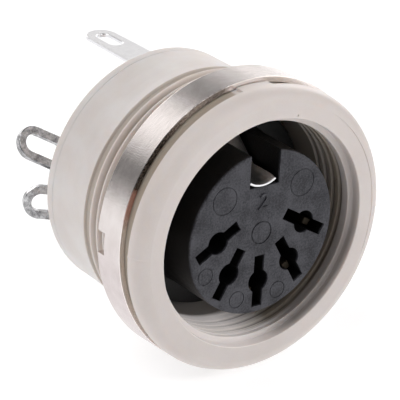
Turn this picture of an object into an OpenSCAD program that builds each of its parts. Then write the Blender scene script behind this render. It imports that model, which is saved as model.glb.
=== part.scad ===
// Round five-way panel socket with an internal screw-lock thread.
// Axis along Y. The mating face looks along -Y, the key notch is at +Z, and
// the origin is on the axis, in the plane where the flange seats on a panel.

/* [Housing] */
// Diameter of the front flange
flange_d = 19.95; // [19.6:0.05:20.4]
// Thickness of the flange, front face to panel seat
flange_t = 1.3; // [1.1:0.1:1.6]
// Corner radius at the front edge of the flange
flange_round = 0.9; // [0.4:0.1:0.9]
// Outer diameter of the external thread
thread_d = 18; // [17.9:0.05:18.1]
// Diameter of the neck between the flange and the thread, which centres the socket in a panel
neck_d = 19; // [18.8:0.05:19.2]
// Pitch of both threads
pitch = 0.75; // [0.6:0.05:0.8]
// Diameter of the rear barrel
barrel_d = 17.2; // [17.0:0.1:17.4]
// Inner diameter of the screw-lock thread
bore_d = 15.2; // [15.1:0.1:15.4]
// Diameter of the front opening, at the thread's lead-in
mouth_d = 16; // [15.8:0.1:16.2]

/* [Ring nut] */
// Outer diameter of the ring nut
nut_d = 20.1; // [19.8:0.1:20.6]
// Length of the ring nut along the axis
nut_l = 2.45; // [2.0:0.05:2.5]
// Gap between the panel seat and the nut, where the panel goes
panel_gap = 0.9; // [0.8:0.05:1.0]
// Width of the two spanner slots in the nut
nut_slot_w = 1.55; // [1.4:0.05:2.4]

/* [Insert] */
// Diameter of the contact insert
insert_d = 11.54; // [11.4:0.02:11.6]
// How far the insert's face lies behind the front of the flange
insert_set = 0.3; // [0.2:0.05:0.5]
// Diameter of the circle that the contacts lie on
pin_circle = 7; // [6.9:0.05:7.1]
// Diameter of each contact hole
hole_d = 1.6; // [1.5:0.05:1.7]
// Length of each contact slot
slot_l = 3.7; // [3.65:0.05:3.8]
// Width of each contact slot
slot_w = 0.82; // [0.75:0.01:0.9]
// Width of the key notch
key_w = 2.4; // [2.3:0.05:2.6]
// Height of the key notch's floor above the axis
key_floor = 3.3; // [3.2:0.05:3.4]

/* [Contacts] */
// Thickness of the contact strip
strip_t = 0.5; // [0.4:0.05:0.5]
// Half the width of a solder tag's rounded end
tag_r = 1.18; // [1.1:0.02:1.25]
// Half the width of a solder tag's eye
eye_r = 0.63; // [0.5:0.01:0.7]
// Length of a tag's eye between the centres of its round ends
eye_l = 1.7; // [1.2:0.1:2.0]
// Half the width of the earth contact's tag
earth_w = 1.25; // [1.1:0.05:1.28]
// Thickness of the earth contact
earth_t = 0.3; // [0.25:0.05:0.35]

/* [Hidden] */
$fn = 96;
eps = 0.01;
y_front = -flange_t;              // front face of the flange
y_face = y_front + insert_set;    // face of the insert
y_neck = 1.2;                     // end of the neck, start of the external thread
y_thread = 5.85;                  // end of the external thread
y_step = 6.75;                    // start of the rear barrel
y_collar = 4.3;                   // front of the insert's collar, the floor of the gap around it
y_seat = 6.2;                     // shoulder that the insert's base bears on
y_base = 7.4;                     // back of the insert's base
y_rear = 10.75;                   // back of the housing, front of the cap's disc
y_end = 11.45;                    // back of the cap
turn_d = 0.4;                     // depth of a thread groove
y_inner = -0.3;                   // start of the screw-lock thread, behind a plain lead-in
y_ledge = -0.55;                  // ledge between the mouth and the screw-lock thread
collar_r = 7.15;                  // collar of the insert
pocket_r = 7.95;                  // rear pocket of the housing
base_r = 7.9;                     // base of the insert and spigot of the cap
fit = 0.03;                       // gap at a press or slide fit
shank_w = 1.6;                    // width of a contact where it leaves the cap
body_col = [0.82, 0.8, 0.77];

// Revolves an outline of [radius, y] points round the Y axis.
module turned(pts) rotate([-90, 0, 0]) rotate_extrude() polygon(pts);
// A flat strip: outline x is the width, laid along Z, outline y is the length, along Y.
module strip(t) rotate([0, -90, 0]) linear_extrude(t, center = true) children();
// A box given by its lowest and highest corners.
module block(a, b) translate(a) cube(b - a);

// Rounded corner between the flange's face and its rim.
function corner(n) = [for (i = [0:n]) let (a = 90 * i / n)
    [flange_d / 2 - flange_round + flange_round * sin(a), y_front + flange_round * (1 - cos(a))]];
// V grooves along a thread, on a cylinder of radius r, cut to a depth d (negative cuts outwards).
function grooves(r, d, y0, n) = [for (i = [0:n - 1], p = [[0, 0.08], [d, 0.5], [0, 0.92]])
    [r - p[0], y0 + (i + p[1]) * pitch]];

module housing() {
    r = thread_d / 2;
    inner_n = 4;
    outer_n = 3;
    difference() {
        union() {
            turned(concat(
                [[mouth_d / 2, y_front]], corner(12),
                [[flange_d / 2, 0], [neck_d / 2, 0], [neck_d / 2, y_neck], [r, y_neck]],
                grooves(r, turn_d, y_thread - 0.1 - outer_n * pitch, outer_n),
                [[r, y_thread], [r - 0.5, y_thread + 0.1], [r - 0.5, y_step - 0.1],
                    [barrel_d / 2 + 0.25, y_step], [barrel_d / 2, y_step + 1.5],
                    [barrel_d / 2, y_rear], [pocket_r, y_rear], [pocket_r, y_seat], [bore_d / 2, y_seat]],
                [for (i = [inner_n - 1:-1:0], p = [[0, 0.92], [turn_d, 0.5], [0, 0.08]])
                    [bore_d / 2 + p[0], y_inner + (i + p[1]) * pitch]],
                [[bore_d / 2, y_ledge + 0.05], [bore_d / 2 + 0.05, y_ledge], [mouth_d / 2, y_ledge]]));
            // key lug that stops the socket turning in the panel
            intersection() {
                block([-1.25, -eps, r - 0.3], [1.25, panel_gap - 0.05, 10]);
                turned([[r - 0.5, -1], [9.8, -1], [9.8, 1], [r - 0.5, 1]]);
            }
        }
    }
}

module ring_nut() {
    r = nut_d / 2;
    b = thread_d / 2 + 0.02;
    y0 = panel_gap;
    y1 = panel_gap + nut_l;
    c = neck_d / 2 + 0.03;        // recess that takes the neck
    yc = y_neck + 0.25;
    difference() {
        turned([[c, y0], [r - 0.04, y0], [r, y0 + 0.04], [r, y1 - 0.07], [r - 0.07, y1], [b, y1], [b, yc], [c, yc]]);
        for (s = [-1, 1])
            block([s > 0 ? 8 : -12, y1 - 0.85, -nut_slot_w / 2], [s > 0 ? 12 : -8, y1 + 1, nut_slot_w / 2]);
    }
}

// Angle of each contact round the axis, then the line of its slot, from +X towards +Z.
CONTACTS = [[180, 30], [225, 60], [270, 90], [315, 120], [0, 150]];

module contact_insert() {
    difference() {
        turned([[0, y_face], [insert_d / 2 - 0.12, y_face], [insert_d / 2, y_face + 0.12], [insert_d / 2, y_collar],
            [collar_r, y_collar], [collar_r, y_seat], [base_r, y_seat], [base_r, y_base], [0, y_base]]);
        for (c = CONTACTS) rotate([0, -c[0], 0]) translate([pin_circle / 2, 0, 0]) {
            rotate([0, c[0] - c[1], 0]) block([-slot_l / 2, y_face - 1, -slot_w / 2], [slot_l / 2, y_base + 1, slot_w / 2]);
            translate([0, y_face - 1, 0]) rotate([-90, 0, 0]) cylinder(d = hole_d, h = 7.5);
        }
        // key notch, open at the top and right through
        block([-key_w / 2, y_face - 1, key_floor], [key_w / 2, y_base + 1, 9]);
    }
}

module rear_cap() {
    difference() {
        turned([[0, y_base], [base_r, y_base], [base_r, y_rear], [barrel_d / 2, y_rear],
            [barrel_d / 2, y_end - 0.15], [barrel_d / 2 - 0.15, y_end], [0, y_end]]);
        for (c = CONTACTS) rotate([0, -c[0], 0]) translate([pin_circle / 2, 0, 0]) rotate([0, c[0] - c[1], 0])
            block([-shank_w / 2 - fit, 5, -strip_t / 2 - fit], [shank_w / 2 + fit, 13, strip_t / 2 + fit]);
        // window for the earth contact, open to the outside along the spigot
        block([-earth_w - fit, 5, 7.45 - earth_t - fit], [earth_w + fit, 13, 7.45 + fit]);
        block([-earth_w - fit, 5, 7.3], [earth_w + fit, y_rear, 8]);
    }
}

// Rounded solder tag with a long eye. Its round end's centre is at the origin, and it reaches back by l.
module tag2d(l, w = tag_r) difference() {
    union() {
        circle(w, $fn = 64);
        translate([-w, -l]) square([2 * w, l]);
    }
    circle(eye_r, $fn = 48);
    translate([-eye_r, -eye_l]) square([2 * eye_r, eye_l]);
    translate([0, -eye_l]) circle(eye_r, $fn = 48);
}
// Fork that grips a plug's pin from two sides, on a wider base, and its shank up to y = l.
module fork2d(l) {
    g = 0.66;
    for (s = [-1, 1]) polygon([[s * 0.95, 0], [s * 1.5, 0], [s * 1.65, 0.4], [s * 1.65, 5.6], [s * 0.8, 5.6], [s * g, 1.1]]);
    translate([-slot_l / 2 + fit, 5.5]) square([slot_l - 2 * fit, y_base - fit - 5.5]);
    translate([-shank_w / 2, y_base - 0.5]) square([shank_w, l - y_base + 0.5]);
}
// Turns a strip that runs along Y so that it leans by tilt towards heading, rolled on its own length.
module aim(heading, tilt, roll) rotate([0, -heading, 0]) rotate([0, 0, -tilt]) rotate([0, roll, 0]) children();
function lean(h, t) = [sin(t) * cos(h), cos(t), sin(t) * sin(h)];
function bez(a, b, c, d, t) = pow(1 - t, 3) * a + 3 * t * pow(1 - t, 2) * b + 3 * t * t * (1 - t) * c + t * t * t * d;
// One cross-section of the bend between a shank and its tag.
module slice(p, h, t, r, w) translate(p) aim(h, t, r) cube([strip_t, 0.02, w], center = true);

// A contact at slot c. Its tag leans by tilt towards heading, with the eye's centre at e.
module contact(c, e, heading, tilt, roll, roll0) {
    x = pin_circle / 2 * cos(c[0]);
    z = pin_circle / 2 * sin(c[0]);
    y0 = tilt > 0 ? 12.7 : e[1] - eye_l - 0.9;
    color([0.75, 0.74, 0.72]) {
        translate([x, 0, z]) rotate([0, 90 - c[1], 0]) strip(strip_t) intersection() {
            fork2d(y0);
            translate([-5, -0.1]) square([10, 30]);
        }
        translate(e) aim(heading, tilt, roll) strip(strip_t) tag2d(eye_l + 0.9);
        a = lean(heading, tilt);
        p0 = [x, y0, z];
        p3 = e - (eye_l + 0.89) * a;
        m = norm(p3 - p0) * 0.45;
        n = tilt > 0 ? 5 : 1;
        if (tilt > 0) for (i = [0:n - 1]) hull() for (k = [i, i + 1]) {
            t = k / n;
            slice(bez(p0, p0 + [0, m, 0], p3 - m * a, p3, t), heading, tilt * t, roll0 + (roll - roll0) * t,
                shank_w + (2 * tag_r - shank_w) * t);
        }
        else translate([x, y0 - 0.3, z]) rotate([0, 90 - c[1], 0]) strip(strip_t)
            polygon([[-shank_w / 2, 0], [shank_w / 2, 0], [tag_r, 0.6], [-tag_r, 0.6]]);
    }
}
module contact_left() contact(CONTACTS[0], [-7.3, 15.2, 1.77], 151, 73, 28, 31);
module contact_lower_left() contact(CONTACTS[1], [-6.7, 15, -2.6], 172, 67, 0, 22);
module contact_bottom() contact(CONTACTS[2], [0, 17.3, -3.5], 90, 0, 90, 90);
module contact_lower_right() mirror([1, 0, 0]) contact_lower_left();
module contact_right() mirror([1, 0, 0]) contact_left();

// Trough-shaped tongue in the key notch, a ramp at its back, and a flat tag out of the cap.
module earth_contact() {
    ro = 2;
    top = 7.45;
    color([0.8, 0.79, 0.77]) {
        // tongue: a strip curved upwards along both sides
        intersection() {
            translate([0, 0, key_floor + ro]) turned([[ro - earth_t, y_face + 0.03], [ro, y_face + 0.03], [ro, 1.7], [ro - earth_t, 1.7]]);
            block([-1.05, -5, key_floor], [1.05, 8, key_floor + 0.62]);
        }
        // ramp and the short level strip inside the notch
        rotate([90, 0, -90]) translate([0, 0, -1.05]) linear_extrude(2.1) polygon([
            [-1.3, key_floor], [-1.3, key_floor + earth_t], [-1.6, key_floor + earth_t],
            [-6, top], [-7.4, top], [-7.4, top - earth_t], [-6.13, top - earth_t], [-1.72, key_floor]]);
        block([-1.05, 7.3, top - earth_t], [1.05, 8, top]);
        // its shoulders bear on the back of the insert's base
        block([-earth_w, y_base + fit, top - earth_t], [earth_w, 11.9, top]);
        translate([0, 11.6, top - earth_t / 2]) rotate([-0.7, 0, 0]) translate([0, 6.4, 0])
            linear_extrude(earth_t, center = true) difference() {
                union() {
                    circle(1.12, $fn = 64);
                    polygon([[-1.12, 0], [-earth_w, -6.4], [earth_w, -6.4], [1.12, 0]]);
                }
                translate([0, -0.3]) circle(0.52, $fn = 48);
                translate([-0.52, -1.6]) square([1.04, 1.3]);
                translate([0, -1.6]) circle(0.52, $fn = 48);
            }
    }
}

color(body_col) housing();
color([0.78, 0.75, 0.7]) ring_nut();
color([0.2, 0.2, 0.21]) contact_insert();
color(body_col) rear_cap();
contact_left();
contact_lower_left();
contact_bottom();
contact_lower_right();
contact_right();
earth_contact();
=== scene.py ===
"""Looks of a round five-way panel socket. Every piece is modelled in millimetres in the part's own frame
(axis along Y, mating face towards -Y, key notch at +Z) and scaled to metres when it is done."""
import math

import bmesh
import bpy
from mathutils import Matrix, Quaternion, Vector
from mathutils.geometry import tessellate_polygon


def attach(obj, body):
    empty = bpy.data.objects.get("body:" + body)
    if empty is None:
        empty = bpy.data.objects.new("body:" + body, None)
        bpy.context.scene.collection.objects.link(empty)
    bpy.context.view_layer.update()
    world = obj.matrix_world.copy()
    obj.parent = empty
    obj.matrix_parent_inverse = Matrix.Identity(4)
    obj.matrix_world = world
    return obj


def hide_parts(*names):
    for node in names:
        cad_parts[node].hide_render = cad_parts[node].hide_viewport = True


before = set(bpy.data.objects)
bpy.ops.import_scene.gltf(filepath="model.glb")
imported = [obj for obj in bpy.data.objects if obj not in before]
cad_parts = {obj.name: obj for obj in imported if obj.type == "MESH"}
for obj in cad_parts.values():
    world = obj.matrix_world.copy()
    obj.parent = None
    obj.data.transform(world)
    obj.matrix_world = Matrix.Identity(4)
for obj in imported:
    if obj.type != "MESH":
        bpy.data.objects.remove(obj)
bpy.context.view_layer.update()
scene = bpy.context.scene

PITCH = 0.75
COLUMNS = 192


# ---------------------------------------------------------------- mesh tools

def new_object(name, verts, faces):
    """An object from points and faces, with coinciding points merged and faces turned outwards."""
    me = bpy.data.meshes.new(name)
    me.from_pydata([tuple(v) for v in verts], [], [tuple(f) for f in faces])
    ob = bpy.data.objects.new(name, me)
    scene.collection.objects.link(ob)
    edit(ob, tidy)
    return ob


def edit(ob, *steps):
    bm = bmesh.new()
    bm.from_mesh(ob.data)
    for step in steps:
        step(bm)
    bm.to_mesh(ob.data)
    bm.free()
    ob.data.update()


def tidy(bm):
    bmesh.ops.remove_doubles(bm, verts=bm.verts[:], dist=2e-5)
    bmesh.ops.dissolve_degenerate(bm, edges=bm.edges[:], dist=1e-5)
    bmesh.ops.recalc_face_normals(bm, faces=bm.faces[:])


def bake(ob):
    """Applies the modifiers."""
    dg = bpy.context.evaluated_depsgraph_get()
    me = bpy.data.meshes.new_from_object(ob.evaluated_get(dg), depsgraph=dg)
    ob.modifiers.clear()
    old = ob.data
    ob.data = me
    bpy.data.meshes.remove(old)


def combine(ob, other, operation):
    m = ob.modifiers.new("combine", "BOOLEAN")
    m.operation = operation
    m.solver = "EXACT"
    m.object = other
    bake(ob)
    bpy.data.objects.remove(other)


def soften(ob, width, pick, segments=2, angle=35):
    """Rounds the sharp edges whose two ends pass pick."""
    def step(bm):
        tidy(bm)
        edges = [e for e in bm.edges if len(e.link_faces) == 2
                 and e.calc_face_angle(0) > math.radians(angle) and all(pick(v.co) for v in e.verts)]
        if edges:
            bmesh.ops.bevel(bm, geom=edges, offset=width, offset_type="OFFSET", segments=segments,
                            profile=0.5, affect="EDGES", clamp_overlap=True)
    edit(ob, step)


def done(ob, material, slot, *nodes, sharp=32):
    """Shades the finished mesh, scales it to metres, gives it its material and ties it to the frame."""
    def shade(bm):
        tidy(bm)
        for f in bm.faces:
            f.smooth = True
        for e in bm.edges:
            e.smooth = e.calc_face_angle(0) < math.radians(sharp)
    edit(ob, shade)
    # flat and straight faces keep their own normals, so only the roundings shade round
    m = ob.modifiers.new("normals", "WEIGHTED_NORMAL")
    m.mode = "FACE_AREA"
    m.weight = 90
    m.keep_sharp = True
    bake(ob)
    ob.data.transform(Matrix.Scale(0.001, 4))
    ob.data.materials.clear()
    ob.data.materials.append(material)
    for p in ob.data.polygons:
        p.material_index = 0
    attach(ob, "root")
    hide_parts(*nodes)
    return ob


def rounded(points, n=4):
    """A closed outline of (r, y, radius): each corner with a radius becomes an arc."""
    out = []
    for i, (x, y, radius) in enumerate(points):
        if not radius:
            out.append((x, y))
            continue
        p, a, b = Vector((x, y)), Vector(points[i - 1][:2]), Vector(points[(i + 1) % len(points)][:2])
        u, v = (a - p).normalized(), (b - p).normalized()
        half = u.angle(v) / 2
        reach = min(radius / math.tan(half), 0.49 * (a - p).length, 0.49 * (b - p).length)
        r = reach * math.tan(half)
        centre = p + (u + v).normalized() * (r / math.sin(half))
        s, e = p + u * reach - centre, p + v * reach - centre
        turn = math.atan2(s.x * e.y - s.y * e.x, s.dot(e))
        for k in range(n + 1):
            c, d = math.cos(turn * k / n), math.sin(turn * k / n)
            out.append((centre.x + s.x * c - s.y * d, centre.y + s.x * d + s.y * c))
    return out


def lathe(name, column, extra=(), count=COLUMNS):
    """Revolves column(angle), a closed outline of (r, y), round the Y axis. Angles are in degrees from +X to +Z."""
    angles = sorted(set([360 * k / count for k in range(count + 1)] + [a % 360 for a in extra]))
    verts, faces = [], []
    for a in angles:
        c, s = math.cos(math.radians(a)), math.sin(math.radians(a))
        rows = column(a)
        verts += [(r * c, y, r * s) for r, y in rows]
    n = len(rows)
    for j in range(len(angles) - 1):
        for i in range(n):
            k = (i + 1) % n
            faces.append((j * n + i, j * n + k, (j + 1) * n + k, (j + 1) * n + i))
    return new_object(name, verts, faces)


def smooth(t):
    t = max(0.0, min(1.0, t))
    return t * t * (3 - 2 * t)


# share of a thread's depth against the distance from a crest's centre, in pitches
CREST = [(-0.5, 1.0), (-0.44, 0.985), (-0.38, 0.91), (-0.13, 0.09), (-0.075, 0.0), (0.075, 0.0), (0.13, 0.09), (0.38, 0.91), (0.44, 0.985)]
NICK = [(-0.5, 0.0), (-0.30, 0.0), (-0.25, 0.04), (-0.04, 0.93), (0.0, 1.0), (0.04, 0.93), (0.25, 0.04), (0.30, 0.0), (0.4, 0.0)]


def thread(angle, form, zero, start, end, radius, depth, fade=(0.0, 0.0)):
    """Outline points (r, y) of a right-handed thread between two planes. zero is y of the form's centre at angle 0."""
    centre = zero - PITCH * angle / 360

    def point(y):
        u = (y - centre) / PITCH
        u -= math.floor(u + 0.5)
        table = form + [(0.5, form[0][1])]
        for (a, p), (b, q) in zip(table, table[1:]):
            if a <= u <= b:
                share = p + (q - p) * (u - a) / (b - a)
                break
        for edge, width in ((y - start, fade[0]), (end - y, fade[1])):
            if width:
                share *= smooth(edge / width)
        return radius + depth * share, y

    first, last = math.floor((start - zero) / PITCH) - 1, math.ceil((end - zero) / PITCH) + 2
    rows = [point(start)]
    for n in range(first, last + 1):
        for u, _ in form:
            rows.append(point(min(max(centre + PITCH * (n + u), start), end)))
    rows.append(point(end))
    return rows


def prism(name, outline, y0, y1):
    """A closed prism along Y from an outline of (x, z)."""
    n = len(outline)
    verts = [(x, y0, z) for x, z in outline] + [(x, y1, z) for x, z in outline]
    faces = [tuple(range(n)), tuple(range(n, 2 * n))] + [(i, (i + 1) % n, n + (i + 1) % n, n + i) for i in range(n)]
    return new_object(name, verts, faces)


def joined(name, objects):
    """Several separate closed meshes as one object."""
    bm = bmesh.new()
    for o in objects:
        bm.from_mesh(o.data)
        bpy.data.objects.remove(o)
    me = bpy.data.meshes.new(name)
    bm.to_mesh(me)
    bm.free()
    ob = bpy.data.objects.new(name, me)
    scene.collection.objects.link(ob)
    return ob


def circle(cx, cz, r, n=48):
    return [(cx + r * math.cos(2 * math.pi * k / n), cz + r * math.sin(2 * math.pi * k / n)) for k in range(n)]


def hoop(cx, cz, r, width, y0, y1, n=48):
    """A closed ring with a rectangular section, for cutting a thin circular line."""
    verts, faces = [], []
    for k in range(n):
        c, s = math.cos(2 * math.pi * k / n), math.sin(2 * math.pi * k / n)
        for rr, y in ((r - width / 2, y0), (r + width / 2, y0), (r + width / 2, y1), (r - width / 2, y1)):
            verts.append((cx + rr * c, y, cz + rr * s))
        m = (k + 1) % n
        faces += [(4 * k + i, 4 * k + (i + 1) % 4, 4 * m + (i + 1) % 4, 4 * m + i) for i in range(4)]
    return new_object("hoop", verts, faces)


def stroke(points, width):
    """Outline of a line drawn through points with a pen of the given width."""
    left, right = [], []
    for i, p in enumerate(points):
        p = Vector(p)
        u = (p - Vector(points[i - 1])).normalized() if i else (Vector(points[1]) - p).normalized()
        v = (Vector(points[i + 1]) - p).normalized() if i < len(points) - 1 else u
        n = Vector((-(u + v).y, (u + v).x)).normalized()
        w = width / 2 / max(0.45, n.dot(Vector((-u.y, u.x))))
        left.append(p + n * w)
        right.append(p - n * w)
    return [tuple(q) for q in left + right[::-1]]


# ---------------------------------------------------------------- materials

def material(name):
    m = bpy.data.materials.new(name)
    m.use_nodes = True
    nt = m.node_tree
    nt.nodes.clear()
    out = nt.nodes.new("ShaderNodeOutputMaterial")
    bsdf = nt.nodes.new("ShaderNodeBsdfPrincipled")
    nt.links.new(bsdf.outputs["BSDF"], out.inputs["Surface"])
    return m, nt, bsdf


def add(nt, kind, **sets):
    node = nt.nodes.new(kind)
    for k, v in sets.items():
        setattr(node, k, v)
    return node


def math_node(nt, op, a, b=None, c=None):
    node = add(nt, "ShaderNodeMath", operation=op)
    for i, v in enumerate((a, b, c)):
        if v is None:
            continue
        if isinstance(v, (int, float)):
            node.inputs[i].default_value = v
        else:
            nt.links.new(v, node.inputs[i])
    return node.outputs[0]


def millimetres(nt):
    """The point in the part's own frame, in millimetres."""
    co = add(nt, "ShaderNodeTexCoord")
    v = add(nt, "ShaderNodeVectorMath", operation="SCALE")
    nt.links.new(co.outputs["Object"], v.inputs[0])
    v.inputs["Scale"].default_value = 1000
    return v.outputs[0]


def noise(nt, vector, scale, detail=3.0, rough=0.5):
    n = add(nt, "ShaderNodeTexNoise")
    nt.links.new(vector, n.inputs["Vector"])
    n.inputs["Scale"].default_value = scale
    n.inputs["Detail"].default_value = detail
    n.inputs["Roughness"].default_value = rough
    return n.outputs["Fac"]


def ramp(nt, value, stops):
    r = add(nt, "ShaderNodeValToRGB")
    nt.links.new(value, r.inputs["Fac"])
    e = r.color_ramp.elements
    while len(e) < len(stops):
        e.new(0.5)
    for el, (pos, col) in zip(e, stops):
        el.position = pos
        el.color = (*col, 1) if not isinstance(col, (int, float)) else (col, col, col, 1)
    return r.outputs["Color"]


def mapped(nt, value, a, b, lo, hi):
    r = add(nt, "ShaderNodeMapRange")
    nt.links.new(value, r.inputs["Value"])
    for k, v in (("From Min", a), ("From Max", b), ("To Min", lo), ("To Max", hi)):
        r.inputs[k].default_value = v
    return r.outputs["Result"]


def bump(nt, bsdf, height, distance, strength=1.0, before=None):
    b = add(nt, "ShaderNodeBump")
    nt.links.new(height, b.inputs["Height"])
    b.inputs["Distance"].default_value = distance * 0.001
    b.inputs["Strength"].default_value = strength
    if before is not None:
        nt.links.new(before, b.inputs["Normal"])
    nt.links.new(b.outputs["Normal"], bsdf.inputs["Normal"])
    return b.outputs["Normal"]


def moulded_plastic():
    m, nt, s = material("moulded_pale_plastic")
    p = millimetres(nt)
    cloud = noise(nt, p, 0.35, 3, 0.55)
    grain = noise(nt, p, 9.0, 4, 0.6)
    mixed = math_node(nt, "ADD", math_node(nt, "MULTIPLY", cloud, 0.7), math_node(nt, "MULTIPLY", grain, 0.3))
    clean = ramp(nt, mixed, [(0.30, (0.650, 0.590, 0.564)), (0.52, (0.680, 0.622, 0.598)), (0.72, (0.704, 0.650, 0.628))])
    # painted shade: the roots of the outer thread and the neck behind the flange are made darker and yellower
    xyz = add(nt, "ShaderNodeSeparateXYZ")
    nt.links.new(p, xyz.inputs[0])
    x, y, z = xyz.outputs
    r = math_node(nt, "SQRT", math_node(nt, "ADD", math_node(nt, "MULTIPLY", x, x), math_node(nt, "MULTIPLY", z, z)))
    root_shade = math_node(nt, "MULTIPLY", mapped(nt, r, 8.97, 8.68, 0.0, 0.68),
                      math_node(nt, "MULTIPLY", mapped(nt, y, 1.0, 1.3, 0.0, 1.0), mapped(nt, y, 6.68, 6.62, 0.0, 1.0)))
    neck_shade = math_node(nt, "MULTIPLY", mapped(nt, r, 9.74, 9.67, 0.0, 1.0), mapped(nt, y, 0.06, 0.12, 0.0, 1.0))
    neck_shade = math_node(nt, "MULTIPLY", neck_shade, math_node(nt, "MULTIPLY", mapped(nt, y, 1.5, 1.3, 0.0, 1.0), mapped(nt, z, 9.50, 9.46, 0.0, 1.0)))
    recess_shade = add(nt, "ShaderNodeMix", data_type="RGBA", blend_type="MULTIPLY")
    nt.links.new(math_node(nt, "MAXIMUM", root_shade, neck_shade), recess_shade.inputs["Factor"])
    nt.links.new(clean, recess_shade.inputs[6])
    recess_shade.inputs[7].default_value = (0.58, 0.54, 0.46, 1)
    barrel = add(nt, "ShaderNodeMix", data_type="RGBA", blend_type="MULTIPLY")
    nt.links.new(math_node(nt, "MULTIPLY", mapped(nt, y, 6.4, 6.8, 0.0, 1.0), mapped(nt, cloud, 0.35, 0.65, 0.35, 1.0)), barrel.inputs["Factor"])
    nt.links.new(recess_shade.outputs[2], barrel.inputs[6])
    barrel.inputs[7].default_value = (1.03, 1.07, 1.09, 1)
    # inside the mouth: painted shade darkens the wall on the right, and a painted glow lights the threads at the bottom
    turn_at = math_node(nt, "ARCTAN2", z, x)
    bore = math_node(nt, "MULTIPLY", mapped(nt, r, 8.08, 8.03, 0.0, 1.0), mapped(nt, y, 6.0, 5.0, 0.0, 1.0))
    right_wall_shade = math_node(nt, "MULTIPLY", mapped(nt, turn_at, -1.42, -1.12, 0.0, 1.0), mapped(nt, turn_at, -0.3, 0.75, 1.0, 0.0))
    right_wall_shade = math_node(nt, "MULTIPLY", right_wall_shade, math_node(nt, "MINIMUM", mapped(nt, y, -1.3, -0.85, 0.1, 1.0), mapped(nt, y, -0.70, -0.40, 1.0, 0.75)))
    right_wall_shade = math_node(nt, "MAXIMUM", right_wall_shade, math_node(nt, "MULTIPLY", mapped(nt, r, 7.66, 7.80, 0.0, 0.9), mapped(nt, y, -0.40, -0.30, 0.0, 1.0)))
    inner = add(nt, "ShaderNodeMix", data_type="RGBA", blend_type="MULTIPLY")
    nt.links.new(math_node(nt, "MULTIPLY", bore, right_wall_shade), inner.inputs["Factor"])
    nt.links.new(barrel.outputs[2], inner.inputs[6])
    inner.inputs[7].default_value = (0.40, 0.39, 0.385, 1)
    nt.links.new(inner.outputs[2], s.inputs["Base Color"])
    # painted light: an emission glow on the lower threads of the bore stands in for light that reaches them
    painted_glow = math_node(nt, "MULTIPLY", mapped(nt, turn_at, -1.28, -1.66, 0.0, 1.0), mapped(nt, turn_at, -2.75, -2.1, 0.25, 1.0))
    painted_glow = math_node(nt, "MULTIPLY", painted_glow, math_node(nt, "MAXIMUM", mapped(nt, r, 7.90, 7.62, 0.12, 1.0), mapped(nt, y, -0.4, -0.5, 0.0, 1.0)))
    painted_glow = math_node(nt, "MULTIPLY", painted_glow, mapped(nt, y, 3.0, 0.5, 0.75, 1.0))
    painted_glow = math_node(nt, "MULTIPLY", painted_glow, mapped(nt, y, 2.8, 3.3, 1.0, 0.08))
    painted_glow = math_node(nt, "MULTIPLY", painted_glow, mapped(nt, y, -0.15, 0.25, 0.45, 1.0))
    nt.links.new(math_node(nt, "MULTIPLY", math_node(nt, "MULTIPLY", painted_glow, bore), 0.38), s.inputs["Emission Strength"])
    s.inputs["Emission Color"].default_value = (1.0, 0.945, 0.94, 1)
    nt.links.new(mapped(nt, grain, 0.3, 0.7, 0.40, 0.52), s.inputs["Roughness"])
    s.inputs["IOR"].default_value = 1.5
    s.inputs["Subsurface Weight"].default_value = 0.35
    s.inputs["Subsurface Radius"].default_value = (1.0, 0.72, 0.5)
    s.inputs["Subsurface Scale"].default_value = 0.0006
    fine = bump(nt, s, noise(nt, p, 22.0, 3, 0.6), 0.0035, 0.5)
    bump(nt, s, noise(nt, p, 1.1, 2, 0.4), 0.02, 0.35, fine)
    return m


def dark_plastic():
    """Near-black moulding: its face has a fine spark-eroded texture; its sides are smooth and carry painted shade, a
    colour far darker than the face's.
    """
    m, nt, s = material("moulded_dark_plastic")
    p = millimetres(nt)
    xyz = add(nt, "ShaderNodeSeparateXYZ")
    nt.links.new(p, xyz.inputs[0])
    face = mapped(nt, xyz.outputs[1], -0.80, -0.90, 0.0, 1.0)
    grain = noise(nt, p, 7.0, 5, 0.7)
    cloud = noise(nt, p, 0.8, 2, 0.5)
    tone = math_node(nt, "ADD", math_node(nt, "MULTIPLY", grain, 0.65), math_node(nt, "MULTIPLY", cloud, 0.35))
    # painted shade: away from the face the sides get a much darker colour than the face
    col = add(nt, "ShaderNodeMix", data_type="RGBA")
    nt.links.new(face, col.inputs["Factor"])
    nt.links.new(ramp(nt, tone, [(0.35, (0.0030, 0.0030, 0.0032)), (0.65, (0.0050, 0.0050, 0.0054))]), col.inputs[6])
    nt.links.new(ramp(nt, tone, [(0.42, (0.018, 0.018, 0.023)), (0.58, (0.066, 0.066, 0.077))]), col.inputs[7])
    nt.links.new(col.outputs[2], s.inputs["Base Color"])
    nt.links.new(math_node(nt, "ADD", mapped(nt, grain, 0.3, 0.7, 0.30, 0.42), math_node(nt, "MULTIPLY", face, 0.16)), s.inputs["Roughness"])
    s.inputs["IOR"].default_value = 1.45
    s.inputs["Specular IOR Level"].default_value = 0.35
    bump(nt, s, grain, 0.02, 0.9)
    return m


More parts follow.
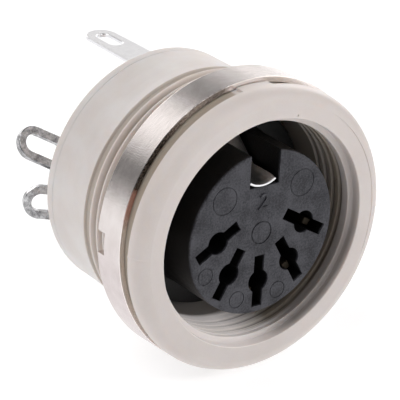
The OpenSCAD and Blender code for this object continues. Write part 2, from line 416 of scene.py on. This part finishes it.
def turned_nickel():
    """Nickel plating over a turned ring: fine lines run round the axis, on the outside and on the flat faces."""
    m, nt, s = material("turned_nickel")
    p = millimetres(nt)
    xyz = add(nt, "ShaderNodeSeparateXYZ")
    nt.links.new(p, xyz.inputs[0])
    x, y, z = xyz.outputs
    r = math_node(nt, "SQRT", math_node(nt, "ADD", math_node(nt, "MULTIPLY", x, x), math_node(nt, "MULTIPLY", z, z)))

    def lines(along, across):
        v = add(nt, "ShaderNodeCombineXYZ")
        nt.links.new(math_node(nt, "MULTIPLY", x, along), v.inputs[0])
        nt.links.new(math_node(nt, "MULTIPLY", math_node(nt, "ADD", y, r), across), v.inputs[1])
        nt.links.new(math_node(nt, "MULTIPLY", z, along), v.inputs[2])
        return v.outputs[0]

    fine = noise(nt, lines(1.2, 24.0), 1.0, 3, 0.6)
    coarse = noise(nt, lines(0.9, 9.0), 1.0, 2, 0.5)
    cloud = noise(nt, p, 0.9, 3, 0.5)
    speck = noise(nt, p, 10.0, 3, 0.7)
    # the front face is rougher cut; its colour carries a painted reflection, dark over the upper left of its turn and
    # bright elsewhere, with a painted reddish reflection beside the dark part
    along = math_node(nt, "SUBTRACT", math_node(nt, "SUBTRACT", y, math_node(nt, "MULTIPLY", x, 0.008)), math_node(nt, "MULTIPLY", z, 0.024))
    front = mapped(nt, along, 0.93, 0.885, 0.0, 1.0)
    angle = math_node(nt, "MODULO", math_node(nt, "ADD", math_node(nt, "ARCTAN2", z, x), 2 * math.pi), 2 * math.pi)
    red_reflection = math_node(nt, "MINIMUM", mapped(nt, angle, 2.69, 2.73, 0.0, 1.0), mapped(nt, angle, 2.84, 2.99, 1.0, 0.0))
    upper_reflection = math_node(nt, "MINIMUM", mapped(nt, angle, 2.36, 2.10, 0.0, 0.55), mapped(nt, angle, 1.90, 2.05, 0.30, 0.55))
    upper_reflection = math_node(nt, "MAXIMUM", upper_reflection, mapped(nt, angle, 1.82, 1.74, 0.0, 1.0))
    # painted reflection: where this mask is high the front face is coloured bright
    clean = math_node(nt, "MAXIMUM", mapped(nt, angle, 2.80, 2.98, 0.0, 1.0), upper_reflection)
    tone = math_node(nt, "ADD", math_node(nt, "MULTIPLY", fine, 0.5), math_node(nt, "MULTIPLY", cloud, 0.5))
    plated = ramp(nt, tone, [(0.32, (0.69, 0.635, 0.615)), (0.55, (0.76, 0.71, 0.695)), (0.72, (0.80, 0.76, 0.745))])
    cut = math_node(nt, "ADD", math_node(nt, "MULTIPLY", clean, 0.62), mapped(nt, speck, 0.40, 0.60, 0.04, 0.36))
    turned = ramp(nt, cut, [(0.14, (0.03, 0.025, 0.022)), (0.24, (0.12, 0.105, 0.10)), (0.45, (0.45, 0.41, 0.40)), (0.75, (0.95, 0.90, 0.875))])
    both = add(nt, "ShaderNodeMix", data_type="RGBA")
    nt.links.new(front, both.inputs["Factor"])
    # painted shade: the plated outside is made darker towards the bottom
    under = add(nt, "ShaderNodeMix", data_type="RGBA", blend_type="MULTIPLY")
    nt.links.new(mapped(nt, z, 1.8, -2.0, 0.0, 1.0), under.inputs["Factor"])
    nt.links.new(plated, under.inputs[6])
    under.inputs[7].default_value = (0.89, 0.86, 0.875, 1)
    nt.links.new(under.outputs[2], both.inputs[6])
    nt.links.new(turned, both.inputs[7])
    with_red_reflection = add(nt, "ShaderNodeMix", data_type="RGBA")
    nt.links.new(math_node(nt, "MULTIPLY", math_node(nt, "MULTIPLY", front, red_reflection), 0.85), with_red_reflection.inputs["Factor"])
    nt.links.new(both.outputs[2], with_red_reflection.inputs[6])
    with_red_reflection.inputs[7].default_value = (0.74, 0.44, 0.38, 1)
    nt.links.new(with_red_reflection.outputs[2], s.inputs["Base Color"])
    s.inputs["Metallic"].default_value = 1.0
    nt.links.new(mapped(nt, coarse, 0.3, 0.7, 0.19, 0.25), s.inputs["Roughness"])
    s.inputs["Anisotropic"].default_value = 0.6
    s.inputs["Anisotropic Rotation"].default_value = 0.25
    tangent = add(nt, "ShaderNodeTangent", direction_type="RADIAL", axis="Y")
    nt.links.new(tangent.outputs[0], s.inputs["Tangent"])
    first = bump(nt, s, fine, 0.0010, 0.6)
    first = bump(nt, s, coarse, 0.0045, 0.6, first)
    # short scratches across the turned lines break up the reflections
    v = add(nt, "ShaderNodeCombineXYZ")
    for i, (c, k) in enumerate(((x, 17.0), (y, 3.2), (z, 17.0))):
        nt.links.new(math_node(nt, "MULTIPLY", c, k), v.inputs[i])
    first = bump(nt, s, noise(nt, v.outputs[0], 1.0, 2, 0.6), 0.0085, 0.85, first)
    bump(nt, s, math_node(nt, "MULTIPLY", speck, front), 0.006, 0.6, first)
    return m


def plated_strip(name, dark, light, rough, wave, bare_and_shaded=None):
    """Plated sheet metal with a faint mottled sheen. The colour given for the part inside the body is unplated metal,
    also made much darker as painted shade.
    """
    m, nt, s = material(name)
    p = millimetres(nt)
    mottle = noise(nt, p, 2.2, 4, 0.6)
    grain = noise(nt, p, 14.0, 3, 0.6)
    tone = math_node(nt, "ADD", math_node(nt, "MULTIPLY", mottle, 0.65), math_node(nt, "MULTIPLY", grain, 0.35))
    plate = ramp(nt, tone, [(0.38, dark), (0.62, light)])
    sheen = mapped(nt, tone, 0.3, 0.7, rough + 0.08, rough)
    if bare_and_shaded:
        xyz = add(nt, "ShaderNodeSeparateXYZ")
        nt.links.new(p, xyz.inputs[0])
        # painted shade: inside the body the strip takes the much darker colour
        inside = mapped(nt, xyz.outputs[1], 9.4, 8.8, 0.0, 1.0)
        mix = add(nt, "ShaderNodeMix", data_type="RGBA")
        nt.links.new(inside, mix.inputs["Factor"])
        nt.links.new(plate, mix.inputs[6])
        mix.inputs[7].default_value = (*bare_and_shaded, 1)
        plate = mix.outputs[2]
        sheen = math_node(nt, "MULTIPLY_ADD", inside, 0.35, sheen)
    nt.links.new(plate, s.inputs["Base Color"])
    s.inputs["Metallic"].default_value = 1.0
    nt.links.new(sheen, s.inputs["Roughness"])
    first = bump(nt, s, grain, 0.0012, 0.5)
    first = bump(nt, s, mottle, 0.004, 0.5, first)
    bump(nt, s, noise(nt, p, 1.0, 2, 0.5), wave, 0.6, first)
    return m


PLASTIC = moulded_plastic()
DARK = dark_plastic()
NICKEL = turned_nickel()
TIN = plated_strip("tin_plated_strip", (0.17, 0.17, 0.175), (0.62, 0.62, 0.63), 0.18, 0.03, (0.085, 0.07, 0.052))
SILVER = plated_strip("silver_plated_strip", (0.82, 0.82, 0.835), (0.90, 0.90, 0.915), 0.26, 0.008)


# ---------------------------------------------------------------- camera

cam_data = bpy.data.cameras.new("camera")
cam_data.sensor_width = 36
cam_data.lens = 260.1
cam_data.clip_start = 0.01
cam_data.clip_end = 20
cam = bpy.data.objects.new("camera", cam_data)
cam.rotation_mode = "QUATERNION"
cam.rotation_quaternion = Quaternion((0.801608, 0.510823, -0.190271, -0.245523))
cam.location = (-0.10774, -0.134842, 0.078303)
scene.collection.objects.link(cam)
scene.camera = cam


# ---------------------------------------------------------------- housing

SEAM = 179.0   # parting line of the mould, on both sides of the flange


def housing_column(angle):
    ridge = 0.0
    for s in (SEAM, SEAM - 180):
        off = (angle - s + 180) % 360 - 180
        ridge = max(ridge, 0.022 * math.exp(-(off / 0.33) ** 2))
    # face with a witness line at its edge, deeper on the right, then a large round, the rim and the panel seat
    n = 14
    lean = math.radians(7)
    big = 0.925 / (1 - math.sin(lean))
    yc = -1.3 + big * math.cos(lean)
    line = 0.002 + 0.05 * smooth((math.cos(math.radians(angle - 17)) - 0.70) / 0.25)
    mouth = rounded([(7.6, -0.35, 0), (7.6, -0.52, 0.05), (8.0, -0.58, 0.06), (8.0, -1.3, 0.06), (8.6, -1.3, 0)], 3)[1:-1]
    mouth += [(9.005, -1.3), (9.035, -1.3 + line), (9.06, -1.3 + line)]
    begin = math.radians(8.4)
    arc = [(9.975 - big + (big + ridge * smooth(k / 4)) * math.sin(a), yc - (big + ridge * smooth(k / 4)) * math.cos(a))
           for k in range(n + 1) for a in [begin + (math.pi / 2 - begin) * k / n]]
    rim = rounded([(9.975 + ridge, yc, 0), (9.975 + 3 * ridge, 0.0, 0.05), (9.62, 0.0, 0.06), (9.62, 1.2, 0.05), (9.0, 1.2, 0.04), (9.0, 1.4, 0)], 3)[1:-1]
    outer = thread(angle, CREST, 5.75 + PITCH * 150 / 360, 1.3, 5.85, 9.0, -0.38, (0.4, 0.0))
    back = rounded([(9.0, 5.7, 0), (8.66, 5.93, 0.05), (8.66, 6.55, 0.05), (8.85, 6.65, 0.05), (8.76, 7.3, 0.3), (8.68, 8.1, 0.5), (8.62, 9.2, 0.5),
                    (8.6, 10.75, 0.05), (7.95, 10.75, 0.04), (7.95, 6.2, 0), (7.6, 6.2, 0.03), (7.6, 3.0, 0)], 4)[1:-1]
    inner = thread(angle, NICK, -0.22 - PITCH * 100 / 360, -0.3, 2.75, 7.6, 0.38, (0.12, 0.12))
    return mouth + arc + rim + outer + back + inner[::-1]


extra = [s + d for s in (SEAM, SEAM + 180) for d in (-0.9, -0.5, -0.25, 0, 0.25, 0.5, 0.9)]
housing = lathe("housing_moulding", housing_column, extra)
# key lug behind the flange
lug = [(9.8 * math.sin(math.radians(a)), 9.8 * math.cos(math.radians(a))) for a in [7.328 * k / 6 for k in range(-6, 7)]]
lug += [(1.25, 8.7), (-1.25, 8.7)]
lug = prism("lug", lug, -0.3, 1.03)
soften(lug, 0.06, lambda v: math.hypot(v.x, v.z) > 9.5 and v.y > -0.4)
combine(housing, lug, "UNION")
combine(housing, prism("pit", circle(2.13, 7.94, 0.07, 14), -1.6, -1.22), "DIFFERENCE")
done(housing, PLASTIC, "housing_plastic", "housing")


# ---------------------------------------------------------------- ring nut

def nut_column(angle):
    shell = rounded([(9.64, 0.87, 0.04), (10.05, 0.87, 0.04), (10.05, 3.35, 0.07), (9.55, 3.35, 0)], 3)
    bore = thread(angle, CREST, 5.75 + PITCH * 150 / 360, 1.45, 3.3, 9.48, -0.41)
    return shell + bore[::-1] + [(9.64, 1.45)]


nut = lathe("ring_nut_turned", nut_column, count=COLUMNS)
# it leans a little, by the play of its thread
nut.data.transform(Matrix.Translation((0, 2.1, 0)) @ Matrix.Rotation(-0.024, 4, "X") @ Matrix.Rotation(0.008, 4, "Z")
                   @ Matrix.Translation((0, -2.1, 0)))
cutters = [prism("cut", [(s * 8.4, -0.775), (s * 11, -0.775), (s * 11, 0.775), (s * 8.4, 0.775)], 2.5, 4.5) for s in (-1, 1)]
combine(nut, joined("cuts", cutters), "DIFFERENCE")
soften(nut, 0.05, lambda v: abs(v.z) < 0.79 and math.hypot(v.x, v.z) > 9.2 and v.y > 2.4)
done(nut, NICKEL, "nut_metal", "ring_nut")


# ---------------------------------------------------------------- insert

CONTACTS = [(180, 30), (225, 60), (270, 90), (315, 120), (0, 150)]


def slot_outline(position, line):
    """Slot of a contact, joined with its round hole, as (x, z)."""
    half, w, r = 1.85, 0.41, 0.8
    a0 = math.asin(w / r)
    arc = [a0 + (math.pi - 2 * a0) * k / 16 for k in range(17)]
    pts = [(half, -w), (half, w)] + [(r * math.cos(a), r * math.sin(a)) for a in arc]
    pts += [(-half, w), (-half, -w)] + [(-r * math.cos(a), -r * math.sin(a)) for a in arc]
    c, s = math.cos(math.radians(line)), math.sin(math.radians(line))
    cx, cz = 3.5 * math.cos(math.radians(position)), 3.5 * math.sin(math.radians(position))
    return [(cx + u * c - v * s, cz + u * s + v * c) for u, v in pts]


shape = rounded([(0.0001, -1.0, 0), (5.77, -1.0, 0.1), (5.77, 4.3, 0.08), (7.15, 4.3, 0.06), (7.15, 6.2, 0), (7.9, 6.2, 0), (7.9, 7.4, 0), (0.0001, 7.4, 0)], 4)
insert = lathe("insert_moulding", lambda a: shape)
combine(insert, joined("cuts", [prism("cut", slot_outline(p, l), -2, 11) for p, l in CONTACTS]
                       + [prism("cut", [(-1.2, 3.3), (1.2, 3.3), (1.2, 9), (-1.2, 9)], -2, 11)]), "DIFFERENCE")
soften(insert, 0.07, lambda v: v.y < -0.99 and math.hypot(v.x, v.z) < 5.5)
# outlines of the ejector marks, a blank round field in the middle, and a plain raised numeral
marks = [(3.15, 2.9, 0.95), (-3.15, 2.9, 0.95), (-4.39, -2.2, 0.58), (-1.7, -4.48, 0.58), (1.66, -4.52, 0.58), (0, 0, 0.78)]
combine(insert, joined("cuts", [hoop(x, z, r, 0.10 if r == 0.78 else 0.055, -2, -0.93 if r == 0.78 else -0.955) for x, z, r in marks]), "DIFFERENCE")
two = [(0.01 + 0.26 * math.cos(a), 2.46 + 0.25 * math.sin(a)) for a in [math.radians(165 - 25 * k) for k in range(9)]]
combine(insert, prism("numeral", stroke(two + [(-0.27, 1.79), (0.33, 1.79)], 0.16), -1.09, -0.9), "UNION")
done(insert, DARK, "insert_plastic", "contact_insert")


# ---------------------------------------------------------------- rear cap

shape = rounded([(0.0001, 7.4, 0), (7.9, 7.4, 0), (7.9, 10.75, 0), (8.6, 10.75, 0.05), (8.6, 11.45, 0.16), (0.0001, 11.45, 0)], 4)
cap = lathe("rear_cap_moulding", lambda a: shape)


def window(position, line):
    c, s = math.cos(math.radians(line)), math.sin(math.radians(line))
    cx, cz = 3.5 * math.cos(math.radians(position)), 3.5 * math.sin(math.radians(position))
    return [(cx + u * c - v * s, cz + u * s + v * c) for u, v in ((0.83, -0.28), (0.83, 0.28), (-0.83, 0.28), (-0.83, -0.28))]


combine(cap, joined("cuts", [prism("cut", window(p, l), 7, 13) for p, l in CONTACTS]
                    + [prism("cut", [(-1.28, 7.12), (1.28, 7.12), (1.28, 7.48), (-1.28, 7.48)], 7, 13)]), "DIFFERENCE")
combine(cap, prism("cut", [(-1.28, 7.3), (1.28, 7.3), (1.28, 8.3), (-1.28, 8.3)], 7, 10.75), "DIFFERENCE")
soften(cap, 0.06, lambda v: v.y > 11.44 and math.hypot(v.x, v.z) < 8.2)
done(cap, PLASTIC, "housing_plastic", "rear_cap")


# ---------------------------------------------------------------- contacts

ACROSS = [-1, -0.72, -0.36, 0, 0.36, 0.72, 1]


def tag_ring(r, eye, eye_l, sides, n=28):
    """Rounded tag with a long eye. sides are (length back from the round's centre, half width) down both sides.
    Returns points (v along, w across), quads, and the indices of the back edge from one side to the other."""
    m = len(ACROSS) - 1
    outer = [(r * math.sin(a), -r * math.cos(a)) for a in [math.pi * k / n for k in range(n + 1)]]
    outer = [(v, w) for v, w in outer]
    inner = [(eye / r * v, eye / r * w) for v, w in outer]
    right = [(-l, h) for l, h in sides]
    left = [(-l, -h) for l, h in reversed(sides)]
    back_l, back_h = sides[-1]
    # down the +w side, across the back, up the -w side
    ring_out = outer + right + [(-back_l, back_h * u) for u in reversed(ACROSS[1:-1])] + left
    steps = len(sides)
    ring_in = inner + [(-eye_l * k / steps, eye) for k in range(1, steps)] + [(-eye_l, eye)]
    ring_in += [(-eye_l - eye * math.sin(a), eye * math.cos(a)) for a in [math.pi * k / m for k in range(1, m)]]
    ring_in += [(-eye_l, -eye)] + [(-eye_l * k / steps, -eye) for k in reversed(range(1, steps))]
    assert len(ring_out) == len(ring_in)
    k = len(ring_out)
    quads = [(i, (i + 1) % k, k + (i + 1) % k, k + i) for i in range(k)]
    start = n + steps      # index of the back corner on the +w side
    back = list(range(start, start + m + 1))
    return ring_out + ring_in, quads, back[::-1]


def sheet_piece(name, verts, faces, thickness, edge):
    ob = new_object(name, verts, faces)
    m = ob.modifiers.new("thick", "SOLIDIFY")
    m.thickness = thickness
    m.offset = 0
    m.use_even_offset = True
    m.use_quality_normals = True
    b = ob.modifiers.new("edge", "BEVEL")
    b.width = edge
    b.segments = 3
    b.limit_method = "ANGLE"
    b.angle_limit = math.radians(50)
    bake(ob)
    return ob


def turn(heading, tilt, roll):
    return (Matrix.Rotation(-math.radians(heading), 3, "Y") @ Matrix.Rotation(-math.radians(tilt), 3, "Z")
            @ Matrix.Rotation(math.radians(roll), 3, "Y"))


FORK = [(1.82, 7.37), (1.82, 5.5), (1.65, 5.5), (1.65, 0.4), (1.5, 0), (0.95, 0), (0.66, 1.1), (0.8, 5.5),
        (-0.8, 5.5), (-0.66, 1.1), (-0.95, 0), (-1.5, 0), (-1.65, 0.4), (-1.65, 5.5), (-1.82, 5.5), (-1.82, 7.37)]


def contact(name, node, place, eye, heading, tilt, roll, roll0, mirror=False):
    position, _ = place
    px, pz = 3.5 * math.cos(math.radians(position)), 3.5 * math.sin(math.radians(position))
    r, eye_r, eye_l, back, half = 1.18, 0.63, 1.7, 2.6, 0.8
    verts, faces = [], []
    base = turn(heading, 0, roll0)
    flat = [(w, y) for w, y in FORK] + [(half * u, 7.37) for u in ACROSS]
    verts += [Vector((px, 0, pz)) + base @ Vector((0, y, w)) for w, y in flat]
    faces += [tuple(t) for t in tessellate_polygon([[Vector((w, y, 0)) for w, y in flat]])]
    row = list(range(len(FORK), len(flat)))

    def add_row(points):
        nonlocal row
        first = len(verts)
        verts.extend(points)
        new = list(range(first, first + len(points)))
        for i in range(len(points) - 1):
            faces.append((row[i], row[i + 1], new[i + 1], new[i]))
        row = new

    e = Vector(eye)
    tag = turn(heading, tilt, roll)
    if tilt:
        y0 = 12.7
        for y in (10.0, 11.5, 12.2, y0):
            add_row([Vector((px, 0, pz)) + base @ Vector((0, y, half * u)) for u in ACROSS])
        a = tag @ Vector((0, 1, 0))
        p0, p3 = Vector((px, y0, pz)), e - back * a
        m = (p3 - p0).length * 0.45
        p1, p2 = p0 + Vector((0, m, 0)), p3 - m * a
        n = 20
        for k in range(1, n):
            t = k / n
            p = (1 - t) ** 3 * p0 + 3 * t * (1 - t) ** 2 * p1 + 3 * t * t * (1 - t) * p2 + t ** 3 * p3
            at = turn(heading, tilt * t, roll0 + (roll - roll0) * t)
            h = half + (r - half) * smooth(t)
            add_row([p + at @ Vector((0, 0, h * u)) for u in ACROSS])
        sides = [(0.6, r), (1.2, r), (1.8, r), (back, r)]
    else:
        for y in (10.0, 11.5, 13.0, e.y - 2.9):
            add_row([Vector((px, 0, pz)) + base @ Vector((0, y, half * u)) for u in ACROSS])
        sides = [(0.8, r), (1.6, r), (2.3, r), (back, 0.99)]
    ring, quads, edge = tag_ring(r, eye_r, eye_l, sides)
    first = len(verts)
    verts += [e + tag @ Vector((0, v, w)) for v, w in ring]
    faces += [tuple(first + i for i in q) for q in quads]
    for i in range(len(ACROSS) - 1):
        faces.append((row[i], row[i + 1], first + edge[i + 1], first + edge[i]))
    if mirror:
        verts = [Vector((-v.x, v.y, v.z)) for v in verts]
    ob = sheet_piece(name, verts, faces, 0.5, 0.07)
    return done(ob, TIN, "contact_metal", node)


LEFT = ((180, 30), (-7.3, 15.2, 1.77), 151, 73, 28, 31)
LOWER = ((225, 60), (-6.7, 15, -2.6), 172, 67, 0, 22)
contact("contact_left_strip", "contact_left", *LEFT)
contact("contact_lower_left_strip", "contact_lower_left", *LOWER)
contact("contact_bottom_strip", "contact_bottom", (270, 90), (0, 17.3, -3.5), 90, 0, 90, 90)
contact("contact_lower_right_strip", "contact_lower_right", *LOWER, mirror=True)
contact("contact_right_strip", "contact_right", *LEFT, mirror=True)


# ---------------------------------------------------------------- earth contact

def earth():
    mid = 7.3
    path = [(-0.98, 3.44), (1.45, 3.44), (6.06, mid), (11.6, mid)]
    rows = []     # (y, z, share of the trough's curl, half width)
    pts = rounded([(path[0][0], path[0][1], 0), (path[1][0], path[1][1], 0.9), (path[2][0], path[2][1], 0.9), (path[3][0], path[3][1], 0)], 6)
    dense = []
    for a, b in zip(pts, pts[1:]):
        steps = max(1, int(math.dist(a, b) / 0.35))
        dense += [(a[0] + (b[0] - a[0]) * k / steps, a[1] + (b[1] - a[1]) * k / steps) for k in range(steps)]
    dense.append(pts[-1])
    for y, z in dense:
        rows.append((y, z, 1 - smooth((y - 0.9) / 1.3), 1.05 if y < 7.45 else 1.25))
    verts, faces, row = [], [], None
    across = [-1, -0.85, -0.68, -0.5, -0.25, 0, 0.25, 0.5, 0.68, 0.85, 1]
    for y, z, curl, h in rows:
        first = len(verts)
        for u in across:
            x = h * u
            verts.append(Vector((x - 0.12 * curl, y, z + curl * (1.85 - math.sqrt(1.85 ** 2 - x * x)))))
        new = list(range(first, len(verts)))
        if row:
            faces.extend((row[i], row[i + 1], new[i + 1], new[i]) for i in range(len(across) - 1))
        row = new
    # the tag dips a little behind the cap
    dip = Matrix.Rotation(math.radians(-0.7), 3, "X")
    at = Vector((0, 11.6, mid))
    for v in (0.6, 1.6, 2.8):
        first = len(verts)
        h = 1.25 - 0.13 * v / 6.4
        verts += [at + dip @ Vector((h * u, v, 0)) for u in across]
        new = list(range(first, len(verts)))
        faces.extend((row[i], row[i + 1], new[i + 1], new[i]) for i in range(len(across) - 1))
        row = new
    global ACROSS
    kept = ACROSS
    ACROSS = across
    ring, quads, edge = tag_ring(1.12, 0.52, 1.3, [(0.5, 1.130), (1.0, 1.140), (1.6, 1.150), (2.5, 1.170)])
    # its eye lies a little nearer the body
    ring = [(v - 0.3 * (i >= len(ring) // 2), w) for i, (v, w) in enumerate(ring)]
    ACROSS = kept
    first = len(verts)
    verts += [at + dip @ Vector((w, 6.4 + v, 0)) for v, w in ring]
    faces += [tuple(first + i for i in q) for q in quads]
    for i in range(len(across) - 1):
        faces.append((row[i], row[i + 1], first + edge[i + 1], first + edge[i]))
    ob = sheet_piece("earth_contact_strip", verts, faces, 0.28, 0.07)
    # the tongue's tip is coined thinner, from above
    for v in ob.data.vertices:
        if v.co.y < 0:
            under = 3.44 + 1.85 - math.sqrt(max(0.0, 1.85 ** 2 - min(1.4, abs(v.co.x + 0.12)) ** 2)) - 0.14
            v.co.z = under + (v.co.z - under) * (0.58 + 0.42 * smooth((v.co.y + 0.98) / 0.5))
    return done(ob, SILVER, "earth_metal", "earth_contact")


earth()


# ---------------------------------------------------------------- floor, world and lights

m, nt, s = material("pale_floor")
p = millimetres(nt)
nt.links.new(ramp(nt, noise(nt, p, 0.02, 2, 0.5), [(0.3, (0.41, 0.41, 0.415)), (0.7, (0.43, 0.43, 0.435))]), s.inputs["Base Color"])
s.inputs["Roughness"].default_value = 0.9
s.inputs["Specular IOR Level"].default_value = 0.1
s.inputs["Emission Color"].default_value = (1, 1, 1, 1)
s.inputs["Emission Strength"].default_value = 0.71
floor = new_object("floor", [(-1, -1, -0.01006), (1, -1, -0.01006), (1, 1, -0.01006), (-1, 1, -0.01006)], [(0, 1, 2, 3)])
floor.data.materials.append(m)


def towards(azimuth, elevation):
    """Unit vector: azimuth from +Y towards +X, elevation above the horizon, in degrees."""
    a, e = math.radians(azimuth), math.radians(elevation)
    return Vector((math.sin(a) * math.cos(e), math.cos(a) * math.cos(e), math.sin(e)))


world = bpy.data.worlds.new("studio")
scene.world = world
world.use_nodes = True
wt = world.node_tree
wt.nodes.clear()
w_out = wt.nodes.new("ShaderNodeOutputWorld")
w_bg = wt.nodes.new("ShaderNodeBackground")
wt.links.new(w_bg.outputs[0], w_out.inputs["Surface"])
direction = add(wt, "ShaderNodeTexCoord").outputs["Generated"]


def patch(azimuth, elevation, inner, outer):
    """1 within inner degrees of a direction, falling to 0 at outer degrees."""
    d = add(wt, "ShaderNodeVectorMath", operation="DOT_PRODUCT")
    wt.links.new(direction, d.inputs[0])
    d.inputs[1].default_value = towards(azimuth, elevation)
    r = add(wt, "ShaderNodeMapRange", interpolation_type="SMOOTHSTEP")
    wt.links.new(d.outputs["Value"], r.inputs["Value"])
    r.inputs["From Min"].default_value = math.cos(math.radians(outer))
    r.inputs["From Max"].default_value = math.cos(math.radians(inner))
    return r.outputs["Result"]


# soft boxes round the table: azimuth, elevation, half width in degrees, strength
BOXES = [(15, 4, 22, 3.6), (-88, 58, 32, 3.6), (60, 30, 22, 2.8), (131, 8, 32, 1.55), (60, 17, 22, 2.3), (-60, 4, 22, 1.1),
         (-15, 30, 22, 1.1), (-88, 33, 32, 0.2), (60, 4, 22, 1.0), (154, 33, 32, 0.4), (131, 33, 32, 0.65), (0, 17, 22, 0.8),
         (30, 17, 22, 0.5), (15, 17, 22, 0.5), (0, 30, 22, 0.3), (-30, 30, 22, 0.26), (0, 56, 22, 0.2), (45, 30, 22, 0.3),
         (-30, 4, 22, 0.14)]
value = 0.0
for az, el, width, strength in BOXES:
    value = math_node(wt, "MULTIPLY_ADD", patch(az, el, 0, width), 0.955 * strength, value)
tint = add(wt, "ShaderNodeCombineColor")
for i, k in enumerate((1.0, 0.985, 0.975)):
    wt.links.new(math_node(wt, "MULTIPLY", value, k), tint.inputs[i])
wt.links.new(tint.outputs[0], w_bg.inputs["Color"])

# a soft lamp near the top, in front
lamp_data = bpy.data.lights.new("top_lamp", "AREA")
lamp_data.shape = "DISK"
lamp_data.size = 0.03
lamp_data.energy = 0.0095
lamp = bpy.data.objects.new("top_lamp", lamp_data)
lamp.location = (0.012, -0.05, 0.05)
lamp.rotation_mode = "QUATERNION"
lamp.rotation_quaternion = Vector((-0.012, 0.05, -0.045)).to_track_quat("-Z", "Y")
scene.collection.objects.link(lamp)

scene.view_settings.view_transform = "Standard"
scene.view_settings.look = "None"
scene.view_settings.exposure = 0
scene.view_settings.gamma = 1
